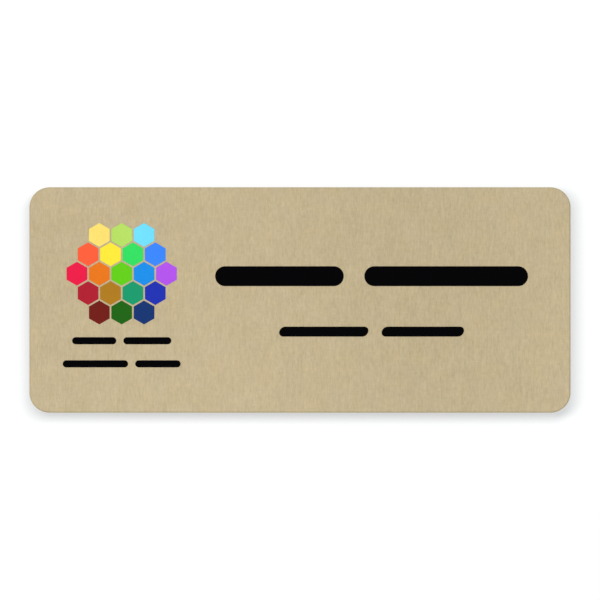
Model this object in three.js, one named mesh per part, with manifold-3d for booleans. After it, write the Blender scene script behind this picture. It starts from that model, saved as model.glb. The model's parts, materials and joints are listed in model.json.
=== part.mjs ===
// A metal name badge, lying face up on the pin at its back.
// All lengths are millimetres. X runs along the badge, Y up its face and Z out of its face.
// The origin is on the surface that the badge lies on, under the middle of the plate.
import * as THREE from "three";
import { mergeVertices } from "three/addons/utils/BufferGeometryUtils.js";
import Module from "manifold-3d";

// Plate: a sheet with round corners and softened edges.
const plateLength = 76.2;
const plateHeight = 31.75;
const plateThickness = 1.0;
const plateCornerRadius = 2.85;
const plateEdgeRadius = 0.2;

// Pin back: a strip under the plate, with two ears at one end, a catch at the other
// and a pin between them. It is bent and riveted from sheet and wire, and built as one piece.
const standoff = 5.2;
const stripLength = 36;
const stripWidth = 6;
const stripThickness = 0.8;
const stripCornerRadius = 1.5;
const earInset = 4;
const earLength = 3.4;
const earThickness = 0.8;
const earCornerRadius = 1.0;
const rivetRadius = 0.5;
const rivetHeadRadius = 0.9;
const rivetHeadHeight = 0.25;
const eyeWall = 0.5;
const eyeWidth = 1.6;
const catchInset = 4;
const catchLength = 4;
const catchThickness = 0.8;
const catchInnerBend = 0.5;
const catchReach = 1.9;
const lipCover = 0.6;
const pinRadius = 0.5;
const pinSeat = 0.1;
const pinTipReach = 1.6;
const pinTaper = 3.2;

// The pin's point, as shares of its taper from the shoulder and of its radius.
const pinPoint = [
  { along: 0, radius: 1 },
  { along: 0.5, radius: 0.72 },
  { along: 0.85, radius: 0.36 },
  { along: 1, radius: 0 },
];

// Print: flat patches of ink that stand a little proud of the plate's face. An emblem with
// two short lines under it is on the left, and two longer lines are on the right.
const inkThickness = 0.06;
const cellPitch = 3.15;
const cellGap = 0.24;
const emblemInset = 13.0;
const emblemRise = 3.7;
const captionDrop = 2.3;
const captionPitch = 3.25;
const captionBarHeight = 1.0;
const captionBarGap = 1.0;
const upperCaptionShare = 0.9;
const lowerCaptionShare = 1.07;
const nameClearance = 5.4;
const nameMargin = 6.0;
const nameRise = 3.35;
const nameBarHeight = 2.8;
const nameBarGap = 2.9;
const titleDrop = 7.8;
const titleBarHeight = 1.4;
const titleBarGap = 1.9;
const titleShare = 0.59;
const titleSlantDegrees = 12;

// The emblem is a honeycomb of printed cells, row by row from the top, pale first.
const emblemRows = [
  { cells: 3, saturation: 0.55, brightness: 0.88 },
  { cells: 4, saturation: 0.76, brightness: 0.88 },
  { cells: 5, saturation: 0.86, brightness: 0.815 },
  { cells: 4, saturation: 0.8, brightness: 0.615 },
  { cells: 3, saturation: 0.76, brightness: 0.395 },
];

// Its half columns from left to right. Each has its hue at the middle row and the turn of that
// hue with each row up, both in degrees, and shares of the row's saturation and brightness.
const emblemColumns = [
  { hue: 348, turn: 0, saturation: 1, brightness: 1 },
  { hue: 2, turn: 9, saturation: 1, brightness: 1 },
  { hue: 26, turn: 11, saturation: 1, brightness: 1 },
  { hue: 46, turn: 8, saturation: 1, brightness: 1 },
  { hue: 96, turn: -8, saturation: 1, brightness: 0.88 },
  { hue: 147, turn: -11, saturation: 1, brightness: 0.88 },
  { hue: 207, turn: -7, saturation: 1, brightness: 1 },
  { hue: 225, turn: -8, saturation: 1, brightness: 1 },
  { hue: 277, turn: 0, saturation: 0.74, brightness: 1 },
];

const arcSteps = 6;
const edgeSteps = 3;
const roundSides = 16;
const overlap = 0.2;

const wasm = await Module();
wasm.setup();

const satinGold = new THREE.MeshStandardMaterial({
  name: "satin_gold",
  color: 0xc3b390,
  roughness: 0.42,
  metalness: 1,
});
const nickelSteel = new THREE.MeshStandardMaterial({
  name: "nickel_steel",
  color: 0xc9c7c2,
  roughness: 0.25,
  metalness: 1,
});
const blackInk = new THREE.MeshStandardMaterial({
  name: "black_ink",
  color: 0x0b0b0c,
  roughness: 0.35,
  metalness: 0,
});

// Closed geometry to a solid that can be joined with others.
function solidOf(geometry) {
  const bare = geometry.clone().deleteAttribute("normal").deleteAttribute("uv");
  const merged = mergeVertices(bare, 1e-4);
  return new wasm.Manifold(
    new wasm.Mesh({
      numProp: 3,
      vertProperties: merged.attributes.position.array,
      triVerts: new Uint32Array(merged.index.array),
    }),
  );
}

// A joined solid back to geometry.
function geometryOf(solid) {
  const made = solid.getMesh();
  const geometry = new THREE.BufferGeometry();
  geometry.setAttribute(
    "position",
    new THREE.BufferAttribute(made.vertProperties, made.numProp),
  );
  geometry.setIndex(new THREE.BufferAttribute(made.triVerts, 1));
  return geometry;
}

function joined(geometries) {
  return geometryOf(geometries.map(solidOf).reduce((a, b) => a.add(b)));
}

// A rectangle with four round corners, about the origin.
function roundedRectangle(length, height, radius) {
  const x = length / 2 - radius;
  const y = height / 2 - radius;
  const quarter = Math.PI / 2;
  const shape = new THREE.Shape();
  shape.absarc(x, y, radius, 0, quarter);
  shape.absarc(-x, y, radius, quarter, 2 * quarter);
  shape.absarc(-x, -y, radius, 2 * quarter, 3 * quarter);
  shape.absarc(x, -y, radius, 3 * quarter, 4 * quarter);
  shape.closePath();
  return shape;
}

// A sheet of the given outline standing on Z 0, with its edges rounded if edgeRadius is given.
function sheet(outline, thickness, edgeRadius = 0) {
  const geometry = new THREE.ExtrudeGeometry(outline, {
    depth: thickness - 2 * edgeRadius,
    curveSegments: arcSteps,
    bevelEnabled: edgeRadius > 0,
    bevelThickness: edgeRadius,
    bevelSize: edgeRadius,
    bevelOffset: -edgeRadius,
    bevelSegments: edgeSteps,
  });
  return geometry.translate(0, 0, edgeRadius);
}

// An outline drawn in X and Z, as thick along Y as given and centred on it.
function sheetAcrossY(outline, thickness) {
  return sheet(outline, thickness)
    .rotateX(Math.PI / 2)
    .translate(0, thickness / 2, 0);
}

// An outline drawn in Y and Z, as long along X as given and centred on it.
function sheetAcrossX(outline, length) {
  const turn = new THREE.Matrix4().makeBasis(
    new THREE.Vector3(0, 1, 0),
    new THREE.Vector3(0, 0, 1),
    new THREE.Vector3(1, 0, 0),
  );
  return sheet(outline, length)
    .applyMatrix4(turn)
    .translate(-length / 2, 0, 0);
}

function rodAlongY(radius, length) {
  return new THREE.CylinderGeometry(radius, radius, length, roundSides);
}

const earX = earInset - stripLength / 2;
const catchX = stripLength / 2 - catchInset;

// An ear hangs from inside the strip to the surface, with its two lower corners round.
function earOutline() {
  const half = earLength / 2;
  const top = standoff - stripThickness + overlap;
  const shape = new THREE.Shape();
  shape.moveTo(half, top);
  shape.lineTo(-half, top);
  shape.absarc(
    -half + earCornerRadius,
    earCornerRadius,
    earCornerRadius,
    Math.PI,
    1.5 * Math.PI,
  );
  shape.absarc(
    half - earCornerRadius,
    earCornerRadius,
    earCornerRadius,
    1.5 * Math.PI,
    2 * Math.PI,
  );
  shape.closePath();
  return shape;
}

// The catch runs down one side of the strip, under the pin and up into a lip beside it.
function catchOutline() {
  const top = standoff - stripThickness + overlap;
  const inner = catchInnerBend;
  const outer = catchInnerBend + catchThickness;
  const wall = stripWidth / 2;
  const wallBend = wall - outer;
  const lipBend = -catchReach + outer;
  const lipEnd = catchThickness / 2;
  const lipEndHeight = pinHeight() + pinRadius + lipCover - lipEnd;
  const shape = new THREE.Shape();
  shape.moveTo(wall, top);
  shape.absarc(wallBend, outer, outer, 0, -Math.PI / 2, true);
  shape.absarc(lipBend, outer, outer, -Math.PI / 2, -Math.PI, true);
  shape.absarc(lipEnd - catchReach, lipEndHeight, lipEnd, Math.PI, 0, true);
  shape.absarc(lipBend, outer, inner, Math.PI, 1.5 * Math.PI);
  shape.absarc(wallBend, outer, inner, 1.5 * Math.PI, 2 * Math.PI);
  shape.lineTo(wall - catchThickness, top);
  shape.closePath();
  return shape;
}

// The pin runs from the rivet through the catch and ends in a point.
function pin() {
  const length = catchX - earX + catchLength / 2 + pinTipReach;
  const shoulder = length - pinTaper;
  const profile = [
    new THREE.Vector2(0, 0),
    new THREE.Vector2(pinRadius, 0),
    ...pinPoint.map(
      (row) =>
        new THREE.Vector2(
          row.radius * pinRadius,
          shoulder + row.along * pinTaper,
        ),
    ),
  ];
  return new THREE.LatheGeometry(profile, roundSides)
    .rotateZ(-Math.PI / 2)
    .translate(earX, 0, pinHeight());
}

// The pin presses a little into the catch's floor, and the rivet holds it at the same height.
function pinHeight() {
  return catchThickness + pinRadius - pinSeat;
}

function pinBack() {
  const strip = sheet(
    roundedRectangle(stripLength, stripWidth, stripCornerRadius),
    stripThickness,
  ).translate(0, 0, standoff - stripThickness);
  const earOffset = (stripWidth - earThickness) / 2;
  const ears = [-earOffset, earOffset].map((y) =>
    sheetAcrossY(earOutline(), earThickness).translate(earX, y, 0),
  );
  const rivet = rodAlongY(rivetRadius, stripWidth);
  const eye = rodAlongY(rivetRadius + eyeWall, eyeWidth);
  const headOffset = (stripWidth + rivetHeadHeight - overlap) / 2;
  const heads = [-headOffset, headOffset].map((y) =>
    rodAlongY(rivetHeadRadius, rivetHeadHeight + overlap).translate(0, y, 0),
  );
  const hinge = [rivet, eye, ...heads].map((g) =>
    g.translate(earX, 0, pinHeight()),
  );
  const clasp = sheetAcrossX(catchOutline(), catchLength).translate(
    catchX,
    0,
    0,
  );
  return joined([strip, ...ears, ...hinge, clasp, pin()]);
}

function named(name, geometry, material) {
  const mesh = new THREE.Mesh(geometry, material);
  mesh.name = name;
  return mesh;
}

const widestRow = Math.max(...emblemRows.map((row) => row.cells));
const rowPitch = (cellPitch * Math.sqrt(3)) / 2;
const cellRadius = (cellPitch - cellGap) / Math.sqrt(3);
const emblemWidth = widestRow * cellPitch - cellGap;
const emblemHeight = (emblemRows.length - 1) * rowPitch + 2 * cellRadius;

// The colour where a row and a half column of the honeycomb meet.
function emblemColor(rowIndex, halfColumn) {
  const row = emblemRows[rowIndex];
  const column = emblemColumns[halfColumn];
  const rowsUp = (emblemRows.length - 1) / 2 - rowIndex;
  const hue = (column.hue + column.turn * rowsUp) / 360;
  const value = row.brightness * column.brightness;
  const lightness = value * (1 - (row.saturation * column.saturation) / 2);
  const saturation = (value - lightness) / Math.min(lightness, 1 - lightness);
  return new THREE.Color().setHSL(
    hue,
    saturation,
    lightness,
    THREE.SRGBColorSpace,
  );
}

function emblemCell(name, color) {
  const cell = new THREE.CylinderGeometry(
    cellRadius,
    cellRadius,
    inkThickness,
    6,
  );
  cell.rotateX(Math.PI / 2).translate(0, 0, inkThickness / 2);
  const ink = blackInk.clone();
  ink.name = name;
  ink.color.copy(color);
  return named(name, cell, ink);
}

// A row with fewer cells starts as many half columns further in.
function emblem() {
  const group = new THREE.Group();
  emblemRows.forEach((row, rowIndex) => {
    const y = ((emblemRows.length - 1) / 2 - rowIndex) * rowPitch;
    for (let index = 0; index < row.cells; index++) {
      const halfColumn = widestRow - row.cells + 2 * index;
      const name = `emblem_cell_${rowIndex + 1}_${index + 1}`;
      const cell = emblemCell(name, emblemColor(rowIndex, halfColumn));
      cell.position.set(((halfColumn - widestRow + 1) * cellPitch) / 2, y, 0);
      group.add(cell);
    }
  });
  return group;
}

// A bar with round ends, leaning to the right by the slant.
function bar(length, height, slantDegrees) {
  const lean = Math.tan((slantDegrees * Math.PI) / 180);
  return sheet(
    roundedRectangle(length, height, height / 2),
    inkThickness,
  ).applyMatrix4(new THREE.Matrix4().makeShear(0, 0, lean, 0, 0, 0));
}

// A row of bars, centred on its own origin.
function printedLine(line) {
  const group = new THREE.Group();
  const inked = line.length - line.gap * (line.shares.length - 1);
  let left = -line.length / 2;
  line.shares.forEach((share, index) => {
    const length = inked * share;
    const geometry = bar(length, line.height, line.slantDegrees);
    const mesh = named(`${line.name}_${index + 1}`, geometry, blackInk);
    mesh.position.x = left + length / 2;
    group.add(mesh);
    left += length + line.gap;
  });
  group.position.set(line.x, line.y, 0);
  return group;
}

const emblemX = emblemInset - plateLength / 2;
const captionY = emblemRise - emblemHeight / 2 - captionDrop;
const nameLeft = emblemX + emblemWidth / 2 + nameClearance;
const nameRight = plateLength / 2 - nameMargin;
const nameX = (nameLeft + nameRight) / 2;
const nameLength = nameRight - nameLeft;

// The lines under the emblem and under the name are shares of it in length, and each bar has
// its share of its own line.
const printedLines = [
  {
    name: "caption_upper_bar",
    length: upperCaptionShare * emblemWidth,
    shares: [0.48, 0.52],
    gap: captionBarGap,
    height: captionBarHeight,
    slantDegrees: 0,
    x: emblemX,
    y: captionY,
  },
  {
    name: "caption_lower_bar",
    length: lowerCaptionShare * emblemWidth,
    shares: [0.59, 0.41],
    gap: captionBarGap,
    height: captionBarHeight,
    slantDegrees: 0,
    x: emblemX,
    y: captionY - captionPitch,
  },
  {
    name: "name_bar",
    length: nameLength,
    shares: [0.44, 0.56],
    gap: nameBarGap,
    height: nameBarHeight,
    slantDegrees: 0,
    x: nameX,
    y: nameRise,
  },
  {
    name: "title_bar",
    length: titleShare * nameLength,
    shares: [0.52, 0.48],
    gap: titleBarGap,
    height: titleBarHeight,
    slantDegrees: titleSlantDegrees,
    x: nameX,
    y: nameRise - titleDrop,
  },
];

const plate = named(
  "badge_plate",
  sheet(
    roundedRectangle(plateLength, plateHeight, plateCornerRadius),
    plateThickness,
    plateEdgeRadius,
  ),
  satinGold,
);
plate.position.z = standoff;

const print = new THREE.Group();
print.position.z = standoff + plateThickness;
const emblemGroup = emblem();
emblemGroup.position.set(emblemX, emblemRise, 0);
print.add(emblemGroup, ...printedLines.map(printedLine));

const badge = new THREE.Group();
badge.add(plate, named("pin_back", pinBack(), nickelSteel), print);

export default badge;
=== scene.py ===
import json
import math

import bmesh
import bpy
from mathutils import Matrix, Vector


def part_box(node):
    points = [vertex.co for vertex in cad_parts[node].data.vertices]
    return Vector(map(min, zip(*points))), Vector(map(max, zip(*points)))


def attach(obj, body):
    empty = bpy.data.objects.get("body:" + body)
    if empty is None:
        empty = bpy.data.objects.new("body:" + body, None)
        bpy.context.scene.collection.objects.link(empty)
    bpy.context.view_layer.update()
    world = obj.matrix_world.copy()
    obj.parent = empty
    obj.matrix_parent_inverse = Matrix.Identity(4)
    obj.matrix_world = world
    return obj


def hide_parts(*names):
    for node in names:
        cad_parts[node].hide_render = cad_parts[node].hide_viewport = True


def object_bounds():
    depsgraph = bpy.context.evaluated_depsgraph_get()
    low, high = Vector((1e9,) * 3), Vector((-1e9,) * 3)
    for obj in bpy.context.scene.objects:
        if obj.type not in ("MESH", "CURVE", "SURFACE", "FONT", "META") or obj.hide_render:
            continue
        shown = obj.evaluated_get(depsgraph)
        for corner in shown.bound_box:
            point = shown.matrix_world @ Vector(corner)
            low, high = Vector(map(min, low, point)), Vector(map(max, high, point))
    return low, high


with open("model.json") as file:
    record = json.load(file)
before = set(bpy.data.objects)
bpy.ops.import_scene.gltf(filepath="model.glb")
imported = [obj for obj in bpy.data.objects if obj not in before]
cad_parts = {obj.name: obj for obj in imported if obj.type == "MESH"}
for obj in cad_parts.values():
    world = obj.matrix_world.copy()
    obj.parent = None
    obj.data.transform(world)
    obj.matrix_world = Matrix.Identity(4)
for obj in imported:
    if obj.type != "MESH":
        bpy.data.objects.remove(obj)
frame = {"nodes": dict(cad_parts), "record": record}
cad_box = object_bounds()

MM = 0.001
UP = Vector((0, 0, 1))
QUARTER_TURN = math.pi / 2

# Points nearer than this are joined, and edges that turn by more than this are softened.
JOIN_DISTANCE = 0.0005 * MM
SHARP_TURN = math.radians(40)

# Plate. Its length, height and thickness are those of the frame.
PLATE_CORNER_RADIUS = 2.85 * MM
PLATE_CORNER_STEPS = 40
PLATE_EDGE_RADIUS = 0.2 * MM
PLATE_EDGE_STEPS = 6
PLATE_EDGE_SUPPORT = 0.05 * MM

# Pin back. The mounts say where its strip, ears and catch are and how thick its sheet is.
mounts = {row["name"]: Vector(row["pos_m"]) for row in frame["record"]["mounts"]}
pin_back_low, pin_back_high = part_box("pin_back")
SHEET = pin_back_high.z - mounts["garment_face"].z
SHEET_EDGE_RADIUS = 0.12 * MM
SHEET_EDGE_STEPS = 3
STRIP_LENGTH = pin_back_high.x - pin_back_low.x
STRIP_WIDTH = 2 * mounts["ear_foot_upper"].y + SHEET
STRIP_CORNER_RADIUS = 1.5 * MM
FLAP_INNER_BEND = 0.2 * MM
FLAP_RELIEF = 0.25 * MM
BEND_STEPS = 8
EAR_X = mounts["ear_foot_upper"].x
EAR_LENGTH = 3.4 * MM
EAR_CORNER_RADIUS = 1.0 * MM
CATCH_X = mounts["catch_foot"].x
CATCH_LENGTH = 4.0 * MM
CATCH_INNER_BEND = 0.5 * MM
CATCH_REACH = 1.9 * MM
LIP_COVER = 0.6 * MM

# Pin and rivet.
PIN_RADIUS = 0.5 * MM
PIN_SEAT = 0.1 * MM
PIN_HEIGHT = SHEET + PIN_RADIUS - PIN_SEAT
PIN_TIP_REACH = 1.6 * MM
PIN_TIP_RADIUS = 0.02 * MM
PIN_TAPER = 3.2 * MM
PIN_TAPER_POWER = 1.8
TAPER_STEPS = 14
RIVET_RADIUS = 0.5 * MM
RIVET_HEAD_RADIUS = 0.9 * MM
RIVET_HEAD_HEIGHT = pin_back_high.y - STRIP_WIDTH / 2
DOME_STEPS = 6
EYE_WALL = 0.5 * MM
EYE_WIDTH = 1.6 * MM
EYE_SQUARENESS = 0.45
EYE_TURN = math.radians(280)
EYE_STEPS = 36
EYE_LEAD = 4.0 * MM
LEAD_STEPS = 16
ROUND_SIDES = 32

# Print.
INK_EDGE_RADIUS = 0.015 * MM
INK_EDGE_STEPS = 2

# Black ink takes this share of its slot's colour, and the other inks take all of theirs.
BLACK_SHARE = 0.3

# Finishes. A layer is noise with so many features per millimetre along X, Y and Z, and its seed
# picks the part of the noise that shows. The layers' weighted mean moves the brightness and the
# roughness between two ends, the first layer alone makes bumps as deep as the relief, and the
# clouds tint the whole. Nearly all of a noise lies between its two ends.
NOISE_ENDS = (0.3, 0.7)
SATIN = {
    "layers": [
        {"per_mm": (6.4, 1.3, 6.4), "octaves": 3, "seed": 0.0, "weight": 0.35},
        {"per_mm": (1.1, 7.0, 7.0), "octaves": 2, "seed": 5.0, "weight": 0.13},
        {"per_mm": (2.6, 0.35, 2.6), "octaves": 2, "seed": 0.0, "weight": 0.16},
        {"per_mm": (0.35, 0.25, 0.35), "octaves": 2, "seed": 0.0, "weight": 0.09},
        # The slowest layer is painted sheen and shade. Its seed puts lighter tone to the left and along
        # the bottom of the plate, and darker tone right of the middle.
        {"per_mm": (0.022, 0.012, 0.022), "octaves": 0, "seed": 38.2, "weight": 0.27},
    ],
    "brightness": (0.82, 1.195),
    "roughness": (0.48, 0.36),
    "relief": 0.0016 * MM,
    "clouds": {"per_mm": (0.4, 0.4, 0.4), "octaves": 2, "seed": 3.0},
    "tints": ((0.995, 1.0, 1.04), (1.005, 1.0, 0.98)),
    "metallic": 1.0,
    "specular": 0.5,
}
PLATING = {
    "layers": [
        {"per_mm": (0.5, 9.0, 9.0), "octaves": 3, "seed": 0.0, "weight": 0.5},
        {"per_mm": (0.5, 0.7, 0.7), "octaves": 3, "seed": 0.0, "weight": 0.5},
    ],
    "brightness": (0.94, 1.08),
    "roughness": (0.2, 0.34),
    "relief": 0.0005 * MM,
    "clouds": {"per_mm": (0.6, 0.6, 0.6), "octaves": 2, "seed": 3.0},
    "tints": ((0.98, 1.0, 1.03), (1.02, 1.0, 0.96)),
    "metallic": 1.0,
    "specular": 0.5,
}
INK = {
    "layers": [
        {"per_mm": (7.0, 1.1, 7.0), "octaves": 3, "seed": 0.0, "weight": 0.4},
        {"per_mm": (9.0, 9.0, 9.0), "octaves": 2, "seed": 0.0, "weight": 0.6},
    ],
    "brightness": (0.93, 1.07),
    "roughness": (0.32, 0.46),
    "relief": 0.0004 * MM,
    "clouds": {"per_mm": (0.3, 0.3, 0.3), "octaves": 1, "seed": 3.0},
    "tints": ((0.98, 0.98, 0.98), (1.02, 1.02, 1.02)),
    "metallic": 0.0,
    "specular": 0.012,
}

# Camera. The view is this wide at the plate's face. The lens and the sensor keep Blender's unit
# for them, the millimetre, and all else in the scene is in metres.
VIEW_WIDTH = 84.45 * MM
LENS = 300.0
SENSOR = 36.0
NEAREST_SEEN = 10 * MM

# Key light. It hangs over the badge, a little to the left and towards the top of the view.
KEY_PLACE = Vector((-11.3, 29.4, 260.0)) * MM
KEY_LENGTH = 140 * MM
KEY_WIDTH = 58 * MM
KEY_BRIGHTNESS = 0.83

# Floor. It glows a little so that it stays white round a soft shadow, and its glow is cool because
# the plate throws gold light on it.
FLOOR_SIZE = 6000 * MM
FLOOR_GREY = 0.45
FLOOR_GLOW = 0.475
FLOOR_GLOW_COLOUR = (0.97, 1.0, 1.03)

# The studio round the badge: an even ambient light, a backdrop as bright as the floor far from the
# key, and a dome that shows in reflections alone, brighter overhead and to one side.
AMBIENT = 0.53
BACKDROP = 0.75
DOME = [
    {"elevation_sine": 0.0, "brightness": 0.86},
    {"elevation_sine": 0.4, "brightness": 0.74},
    {"elevation_sine": 0.75, "brightness": 0.82},
    {"elevation_sine": 0.92, "brightness": 1.08},
    {"elevation_sine": 1.0, "brightness": 1.17},
]
DOME_LEAN = (-0.18, 0.14, 0.0)


def polar(radius, angle):
    """A point at a distance from the origin, turned from the first axis towards the second."""
    return Vector((radius * math.cos(angle), radius * math.sin(angle)))


def smoothstep(share):
    return share * share * (3 - 2 * share)


def between(first, second, share):
    return first + (second - first) * share


def rounded_rectangle(length, height, radius, steps, inset=0.0):
    """Outline points of a rectangle with round corners, drawn in by the inset, from the upper right."""
    points = []
    for corner, (side_x, side_y) in enumerate([(1, 1), (-1, 1), (-1, -1), (1, -1)]):
        centre = Vector((side_x * (length / 2 - radius), side_y * (height / 2 - radius)))
        for step in range(steps + 1):
            angle = (corner + step / steps) * QUARTER_TURN
            points.append(centre + polar(radius - inset, angle))
    return points


def linked(name, data):
    made = bpy.data.objects.new(name, data)
    bpy.context.scene.collection.objects.link(made)
    return made


def mesh_object(name, vertices, faces):
    """A smooth mesh with points that coincide joined and its faces pointing out."""
    mesh = bpy.data.meshes.new(name)
    mesh.from_pydata([tuple(vertex) for vertex in vertices], [], faces)
    work = bmesh.new()
    work.from_mesh(mesh)
    bmesh.ops.remove_doubles(work, verts=work.verts, dist=JOIN_DISTANCE)
    bmesh.ops.recalc_face_normals(work, faces=work.faces)
    work.to_mesh(mesh)
    work.free()
    for polygon in mesh.polygons:
        polygon.use_smooth = True
    return linked(name, mesh)


def lofted(name, rings):
    """A closed solid through rings that all have as many points."""
    count = len(rings[0])
    vertices = [vertex for ring in rings for vertex in ring]
    last = len(vertices) - count
    faces = [tuple(reversed(range(count))), tuple(range(last, last + count))]
    for start in range(0, last, count):
        for side in range(count):
            after = (side + 1) % count
            ahead = start + count
            faces.append((start + side, start + after, ahead + after, ahead + side))
    return mesh_object(name, vertices, faces)


def weld(piece):
    """Joins the piece's points that coincide."""
    joined = piece.modifiers.new("joined_points", "WELD")
    joined.merge_threshold = JOIN_DISTANCE


def soften(piece, radius, steps):
    """Rounds the piece's sharp edges."""
    bevel = piece.modifiers.new("softened_edges", "BEVEL")
    bevel.width = radius
    bevel.segments = steps
    bevel.limit_method = "ANGLE"
    bevel.angle_limit = SHARP_TURN
    bevel.harden_normals = True


def plate_sheet():
    """The plate, with rounded edges and a narrow flat band beside them that keeps its faces flat."""
    low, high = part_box("badge_plate")
    lower_edge = [(PLATE_EDGE_RADIUS + PLATE_EDGE_SUPPORT, 0.0)]
    for step in range(PLATE_EDGE_STEPS + 1):
        arc = polar(PLATE_EDGE_RADIUS, step / PLATE_EDGE_STEPS * QUARTER_TURN)
        lower_edge.append((PLATE_EDGE_RADIUS - arc.y, PLATE_EDGE_RADIUS - arc.x))
    levels = [(inset, low.z + rise) for inset, rise in lower_edge]
    levels += [(inset, high.z - rise) for inset, rise in reversed(lower_edge)]
    length = high.x - low.x
    height = high.y - low.y
    rings = []
    for inset, z in levels:
        outline = rounded_rectangle(length, height, PLATE_CORNER_RADIUS, PLATE_CORNER_STEPS, inset)
        rings.append([(point.x, point.y, z) for point in outline])
    return lofted("badge_plate_sheet", rings)


class BentSheet:
    """The middle surface of the pin back's sheet: a strip with flaps bent down from its long sides."""

    def __init__(self):
        self.vertices = []
        self.faces = []
        self.top = pin_back_high.z - SHEET / 2
        self.wall = (STRIP_WIDTH - SHEET) / 2
        self.bend = FLAP_INNER_BEND + SHEET / 2

    def add(self, points):
        """Adds points and gives their numbers."""
        first = len(self.vertices)
        self.vertices.extend(points)
        return list(range(first, len(self.vertices)))

    def add_across(self, x, length, y, z):
        """Adds the two ends of a line along X."""
        return self.add([(x - length / 2, y, z), (x + length / 2, y, z)])

    def join_rows(self, rows):
        for near, far in zip(rows, rows[1:]):
            self.faces.append((near[0], near[1], far[1], far[0]))

    def bent_down(self, x, length, side):
        """Rows of a bend from the strip down into a wall along the side of the given sign."""
        rows = []
        for step in range(BEND_STEPS + 1):
            arc = polar(self.bend, step / BEND_STEPS * QUARTER_TURN)
            y = side * (self.wall - self.bend + arc.y)
            rows.append(self.add_across(x, length, y, self.top - self.bend + arc.x))
        return rows

    def ear(self, side):
        """A flap down to the floor with round lower corners."""
        rows = self.bent_down(EAR_X, EAR_LENGTH, side)
        self.join_rows(rows)
        first_corner = []
        for step in range(BEND_STEPS + 1):
            arc = polar(EAR_CORNER_RADIUS, (2 + step / BEND_STEPS) * QUARTER_TURN)
            x = EAR_X - EAR_LENGTH / 2 + EAR_CORNER_RADIUS + arc.x
            first_corner.append((x, side * self.wall, EAR_CORNER_RADIUS + arc.y))
        second_corner = [(2 * EAR_X - x, y, z) for x, y, z in reversed(first_corner)]
        lower_edge = self.add(first_corner + second_corner)
        self.faces.append((rows[-1][0], *lower_edge, rows[-1][1]))
        return self.notch(EAR_X, EAR_LENGTH, side, rows[0])

    def catch(self):
        """A flap down to the floor, under the pin and up into a lip beside it."""
        rows = self.bent_down(CATCH_X, CATCH_LENGTH, 1)
        radius = CATCH_INNER_BEND + SHEET / 2
        lip = SHEET / 2 - CATCH_REACH
        for turn, centre_y in enumerate([self.wall - radius, lip + radius]):
            for step in range(BEND_STEPS + 1):
                arc = polar(radius, -(turn + step / BEND_STEPS) * QUARTER_TURN)
                z = SHEET / 2 + radius + arc.y
                rows.append(self.add_across(CATCH_X, CATCH_LENGTH, centre_y + arc.x, z))
        rows.append(self.add_across(CATCH_X, CATCH_LENGTH, lip, PIN_HEIGHT + PIN_RADIUS + LIP_COVER))
        self.join_rows(rows)
        return self.notch(CATCH_X, CATCH_LENGTH, 1, rows[0])

    def notch(self, x, length, side, root):
        """The strip's edge where a flap leaves it, with a relief cut at each end of the flap's root."""
        inner = side * (self.wall - self.bend)
        outer = side * STRIP_WIDTH / 2
        left = x - length / 2 - FLAP_RELIEF
        right = x + length / 2 + FLAP_RELIEF
        before = self.add([(left, outer, self.top), (left, inner, self.top)])
        after = self.add([(right, inner, self.top), (right, outer, self.top)])
        return before + root + after

    def strip(self, upper_notches, lower_notches):
        """The strip itself. The notches of each side go from left to right."""
        outline = rounded_rectangle(STRIP_LENGTH, STRIP_WIDTH, STRIP_CORNER_RADIUS, BEND_STEPS)
        points = self.add([(point.x, point.y, self.top) for point in outline])
        corner = BEND_STEPS + 1
        upper_right = points[:corner]
        left = points[corner : 3 * corner]
        lower_right = points[3 * corner :]
        self.faces.append((*upper_right, *reversed(upper_notches), *left, *lower_notches, *lower_right))


def bent_sheet():
    """The strip with its ears and catch, as thick as its sheet."""
    sheet = BentSheet()
    sheet.strip(sheet.ear(1) + sheet.catch(), sheet.ear(-1))
    piece = mesh_object("pin_back_bent_sheet", sheet.vertices, sheet.faces)
    thickness = piece.modifiers.new("thickness", "SOLIDIFY")
    thickness.thickness = SHEET
    thickness.offset = 0
    thickness.use_even_offset = True
    soften(piece, SHEET_EDGE_RADIUS, SHEET_EDGE_STEPS)
    weld(piece)
    return piece


def rivet():
    """A shank through both ears with a low dome at each end, as radii along Y from end to end."""
    ear_face = STRIP_WIDTH / 2
    half = [(RIVET_RADIUS, ear_face)]
    for step in range(DOME_STEPS + 1):
        arc = polar(1, step / DOME_STEPS * QUARTER_TURN)
        half.append((RIVET_HEAD_RADIUS * arc.x, ear_face + RIVET_HEAD_HEIGHT * arc.y))
    profile = [(radius, -y) for radius, y in reversed(half)] + half
    rings = []
    for radius, y in profile:
        spokes = [polar(radius, side / ROUND_SIDES * math.tau) for side in range(ROUND_SIDES)]
        rings.append([(EAR_X + spoke.x, y, PIN_HEIGHT + spoke.y) for spoke in spokes])
    return lofted("pin_back_rivet", rings)


def drawn_square(value, squareness):
    """Draws the sine or cosine of a ring towards the corners of a square."""
    return math.copysign(abs(value) ** (1 - squareness), value)


def wire_ring(centre, outward, half_height, half_width, squareness=0.0):
    """A section of a wire that runs in the XZ plane, with its height along outward."""
    ring = []
    for side in range(ROUND_SIDES):
        angle = side / ROUND_SIDES * math.tau
        rise = half_height * drawn_square(math.cos(angle), squareness)
        reach = half_width * drawn_square(math.sin(angle), squareness)
        ring.append(centre + outward * rise + Vector((0, reach, 0)))
    return ring


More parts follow.
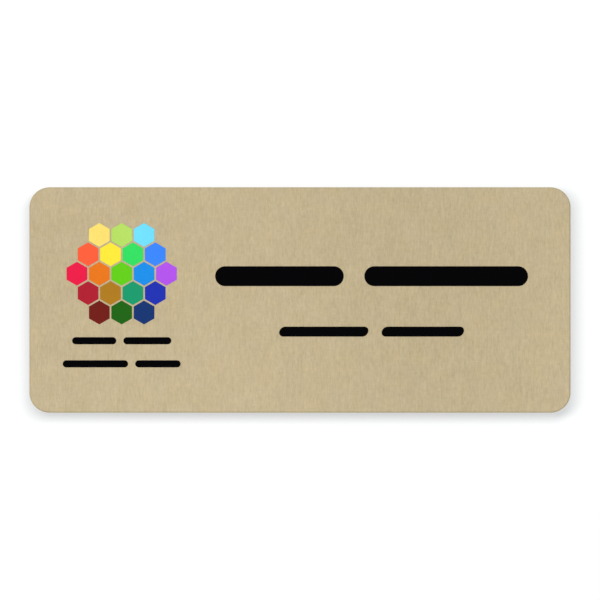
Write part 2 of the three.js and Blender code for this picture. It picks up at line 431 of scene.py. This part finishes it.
def pin():
    """A wire from its point to a flattened end that is rolled once round the rivet."""
    rings = []
    tip_x = CATCH_X + CATCH_LENGTH / 2 + PIN_TIP_REACH
    for step in range(TAPER_STEPS + 1):
        share = step / TAPER_STEPS
        radius = max(PIN_RADIUS * (1 - (1 - share) ** PIN_TAPER_POWER), PIN_TIP_RADIUS)
        centre = Vector((tip_x - PIN_TAPER * share, 0, PIN_HEIGHT))
        rings.append(wire_ring(centre, UP, radius, radius))

    eye_centre = Vector((EAR_X, 0, PIN_HEIGHT))
    eye_radius = RIVET_RADIUS + EYE_WALL / 2
    for step in range(LEAD_STEPS + 1):
        share = smoothstep(step / LEAD_STEPS)
        lead = Vector((EYE_LEAD * (1 - step / LEAD_STEPS), 0, eye_radius * share))
        half_height = between(PIN_RADIUS, EYE_WALL / 2, share)
        half_width = between(PIN_RADIUS, EYE_WIDTH / 2, share)
        ring = wire_ring(eye_centre + lead, UP, half_height, half_width, EYE_SQUARENESS * share)
        rings.append(ring)

    for step in range(1, EYE_STEPS + 1):
        spoke = polar(1, QUARTER_TURN + EYE_TURN * step / EYE_STEPS)
        outward = Vector((spoke.x, 0, spoke.y))
        centre = eye_centre + outward * eye_radius
        rings.append(wire_ring(centre, outward, EYE_WALL / 2, EYE_WIDTH / 2, EYE_SQUARENESS))
    return lofted("pin_back_pin", rings)


class Finish:
    """A material whose colour, roughness and relief follow a finish's layers and clouds of noise."""

    def __init__(self, name, colour, finish):
        self.material = bpy.data.materials.new(name)
        self.material.use_nodes = True
        self.tree = self.material.node_tree
        self.shader = self.tree.nodes["Principled BSDF"]
        self.place = self.tree.nodes.new("ShaderNodeTexCoord").outputs["Object"]
        layers = [self.noise(row) for row in finish["layers"]]
        mean = self.weighted_mean(layers, [row["weight"] for row in finish["layers"]])
        shades = [[channel * factor for channel in colour] for factor in finish["brightness"]]
        shade = self.ramp(mean, shades)
        tint = self.ramp(self.noise(finish["clouds"]), finish["tints"])
        self.join(self.product(shade, tint), self.shader.inputs["Base Color"])
        self.join(self.ranged(mean, *finish["roughness"]), self.shader.inputs["Roughness"])
        self.relief(layers[0], finish["relief"])
        self.shader.inputs["Metallic"].default_value = finish["metallic"]
        self.shader.inputs["Specular IOR Level"].default_value = finish["specular"]

    def join(self, source, target):
        self.tree.links.new(source, target)

    def noise(self, row):
        """Noise stretched as a layer's row says."""
        stretch = self.tree.nodes.new("ShaderNodeMapping")
        stretch.inputs["Scale"].default_value = [features / MM for features in row["per_mm"]]
        stretch.inputs["Location"].default_value = [row["seed"]] * 3
        self.join(self.place, stretch.inputs["Vector"])
        noise = self.tree.nodes.new("ShaderNodeTexNoise")
        noise.inputs["Scale"].default_value = 1.0
        noise.inputs["Detail"].default_value = row["octaves"]
        self.join(stretch.outputs["Vector"], noise.inputs["Vector"])
        return noise.outputs["Fac"]

    def weighted_mean(self, values, weights):
        total = None
        for value, weight in zip(values, weights):
            part = self.tree.nodes.new("ShaderNodeMath")
            part.operation = "MULTIPLY_ADD"
            part.inputs[1].default_value = weight / sum(weights)
            part.inputs[2].default_value = 0.0
            self.join(value, part.inputs[0])
            if total is not None:
                self.join(total, part.inputs[2])
            total = part.outputs["Value"]
        return total

    def ranged(self, noise, low, high):
        """The noise's usual range as low to high."""
        node = self.tree.nodes.new("ShaderNodeMapRange")
        node.inputs["From Min"].default_value = NOISE_ENDS[0]
        node.inputs["From Max"].default_value = NOISE_ENDS[1]
        node.inputs["To Min"].default_value = low
        node.inputs["To Max"].default_value = high
        self.join(noise, node.inputs["Value"])
        return node.outputs["Result"]

    def ramp(self, noise, ends):
        """The first colour where the noise is low and the second one where it is high."""
        node = self.tree.nodes.new("ShaderNodeValToRGB")
        for element, colour in zip(node.color_ramp.elements, ends):
            element.color = (*colour, 1.0)
        self.join(self.ranged(noise, 0.0, 1.0), node.inputs["Fac"])
        return node.outputs["Color"]

    def product(self, first, second):
        node = self.tree.nodes.new("ShaderNodeVectorMath")
        node.operation = "MULTIPLY"
        self.join(first, node.inputs[0])
        self.join(second, node.inputs[1])
        return node.outputs["Vector"]

    def relief(self, noise, depth):
        """Bumps as deep as this, which follow the noise."""
        node = self.tree.nodes.new("ShaderNodeBump")
        node.inputs["Distance"].default_value = depth
        self.join(noise, node.inputs["Height"])
        self.join(node.outputs["Normal"], self.shader.inputs["Normal"])


def slot_colour(slot):
    rows = frame["record"]["materials"]
    return next(row["base_color"][:3] for row in rows if row["slot"] == slot)


def dress(piece, material):
    piece.data.materials.clear()
    piece.data.materials.append(material)


def replace(node_name, slot, finish, pieces):
    """Puts the pieces in the place of a node of the frame, on the badge's one body."""
    material = Finish(slot, slot_colour(slot), finish).material
    for piece in pieces:
        dress(piece, material)
        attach(piece, "root")
        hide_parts(node_name)


def print_on_face():
    """Inks the printed nodes, each in its slot's colour, and softens their edges."""
    inks = {}
    for row in frame["record"]["subparts"]:
        slot = row["material_slot"]
        if "ink" not in slot:
            continue
        if slot not in inks:
            share = BLACK_SHARE if slot == "black_ink" else 1.0
            colour = [channel * share for channel in slot_colour(slot)]
            inks[slot] = Finish(slot, colour, INK).material
        node = frame["nodes"][row["node"]]
        dress(node, inks[slot])
        weld(node)
        soften(node, INK_EDGE_RADIUS, INK_EDGE_STEPS)


def camera():
    """A long lens that looks straight down on the plate."""
    data = bpy.data.cameras.new("camera")
    data.lens = LENS
    data.sensor_width = SENSOR
    data.clip_start = NEAREST_SEEN
    made = linked("camera", data)
    face_height = cad_box[1][2]
    distance = VIEW_WIDTH * LENS / SENSOR
    made.location = UP * (face_height + distance)
    bpy.context.scene.camera = made


def key_light():
    """A soft box that lights the badge and the floor and shows in no reflection.

    Its power gives a face turned to it as much light as a whole sky of KEY_BRIGHTNESS would.
    """
    data = bpy.data.lights.new("key", "AREA")
    data.shape = "ELLIPSE"
    data.size = KEY_LENGTH
    data.size_y = KEY_WIDTH
    data.energy = KEY_BRIGHTNESS * (math.pi * KEY_PLACE.length) ** 2
    made = linked("key", data)
    made.location = KEY_PLACE
    made.rotation_mode = "QUATERNION"
    made.rotation_quaternion = KEY_PLACE.to_track_quat("Z", "Y")
    made.visible_camera = False
    made.visible_glossy = False


def dome_brightness(nodes, links):
    """The brightness of the reflected dome by the direction that it lies in."""
    direction = nodes.new("ShaderNodeTexCoord").outputs["Generated"]
    parts = nodes.new("ShaderNodeSeparateXYZ")
    links.new(direction, parts.inputs["Vector"])
    peak = max(row["brightness"] for row in DOME)
    ramp = nodes.new("ShaderNodeValToRGB")
    elements = ramp.color_ramp.elements
    for row in DOME[len(elements) :]:
        elements.new(row["elevation_sine"])
    for element, row in zip(elements, DOME):
        element.position = row["elevation_sine"]
        element.color = (*[row["brightness"] / peak] * 3, 1.0)
    links.new(parts.outputs["Z"], ramp.inputs["Fac"])
    lean = nodes.new("ShaderNodeVectorMath")
    lean.operation = "DOT_PRODUCT"
    lean.inputs[1].default_value = DOME_LEAN
    links.new(direction, lean.inputs[0])
    total = nodes.new("ShaderNodeMath")
    total.operation = "MULTIPLY_ADD"
    total.inputs[1].default_value = peak
    links.new(ramp.outputs["Color"], total.inputs[0])
    links.new(lean.outputs["Value"], total.inputs[2])
    return total.outputs["Value"]


def studio():
    """The world, which lights the badge, shows in its reflections and stands behind the floor."""
    world = bpy.data.worlds.new("studio")
    bpy.context.scene.world = world
    world.use_nodes = True
    world.cycles.sampling_method = "NONE"
    nodes = world.node_tree.nodes
    links = world.node_tree.links
    seen_by = nodes.new("ShaderNodeLightPath")

    def glow(brightness):
        node = nodes.new("ShaderNodeBackground")
        node.inputs["Color"].default_value = (1, 1, 1, 1)
        node.inputs["Strength"].default_value = brightness
        return node

    def chosen(rays, usual, special):
        """The special shader for the given rays, and the usual one for all others."""
        node = nodes.new("ShaderNodeMixShader")
        links.new(seen_by.outputs[rays], node.inputs["Fac"])
        links.new(usual, node.inputs[1])
        links.new(special, node.inputs[2])
        return node.outputs["Shader"]

    dome = glow(1.0)
    links.new(dome_brightness(nodes, links), dome.inputs["Strength"])
    light = chosen("Is Glossy Ray", glow(AMBIENT).outputs[0], dome.outputs[0])
    light = chosen("Is Camera Ray", light, glow(BACKDROP).outputs[0])
    links.new(light, nodes["World Output"].inputs["Surface"])


def floor():
    """A wide matt floor that the badge lies on."""
    half = FLOOR_SIZE / 2
    corners = [(-half, -half, 0), (half, -half, 0), (half, half, 0), (-half, half, 0)]
    made = mesh_object("floor", corners, [(0, 1, 2, 3)])
    material = bpy.data.materials.new("white_floor")
    material.use_nodes = True
    inputs = material.node_tree.nodes["Principled BSDF"].inputs
    inputs["Base Color"].default_value = (*[FLOOR_GREY] * 3, 1)
    inputs["Roughness"].default_value = 1.0
    inputs["Specular IOR Level"].default_value = 0.0
    inputs["Emission Color"].default_value = (*FLOOR_GLOW_COLOUR, 1)
    inputs["Emission Strength"].default_value = FLOOR_GLOW
    dress(made, material)


camera()
studio()
key_light()
floor()
replace("badge_plate", "satin_gold", SATIN, [plate_sheet()])
replace("pin_back", "nickel_steel", PLATING, [bent_sheet(), rivet(), pin()])
print_on_face()
bpy.context.scene.view_settings.view_transform = "Standard"
